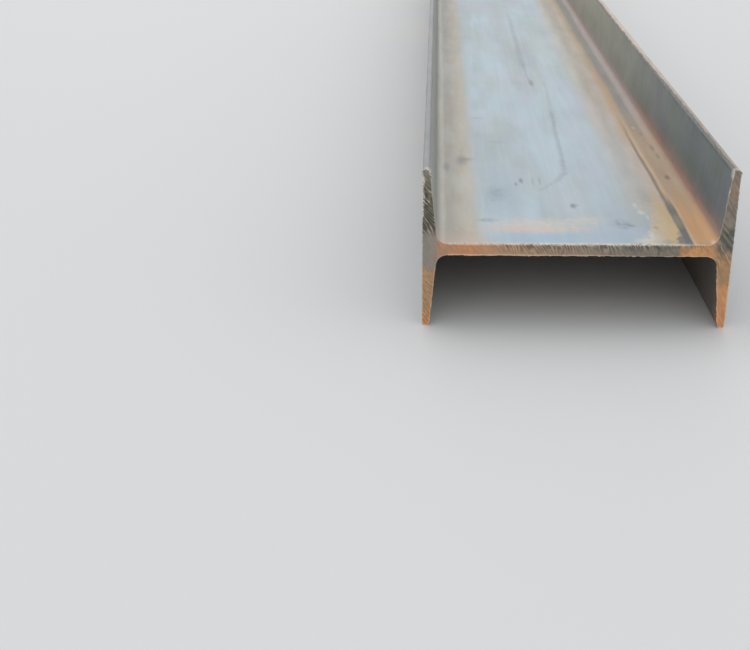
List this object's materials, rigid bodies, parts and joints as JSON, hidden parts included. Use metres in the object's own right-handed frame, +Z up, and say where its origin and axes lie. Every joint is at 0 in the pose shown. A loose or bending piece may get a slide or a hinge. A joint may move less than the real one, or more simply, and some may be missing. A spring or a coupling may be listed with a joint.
{
  "type": "steel i-beam",
  "caption": "Rolled steel I-beam with tapered flanges, sawn square at both ends, lying with its web level, for frames, lintels, joists and posts.",
  "frame": {"origin": "on the ground under the middle of the beam, level with the lower tips of both flanges", "axes": "+X across the depth of the section, from one flange to the other; +Y along the beam, away from the end that the picture shows; +Z up, square to the web"},
  "size_m": [0.18, 6, 0.097],
  "materials": {
    "rolled_steel": "uncoated hot-rolled mill scale, blue-grey, with orange-brown rust in patches and strips, and saw-marked rusty ends"
  },
  "bodies": {
    "root": {"i_beam": "rolled_steel"}
  },
  "joints": []
}
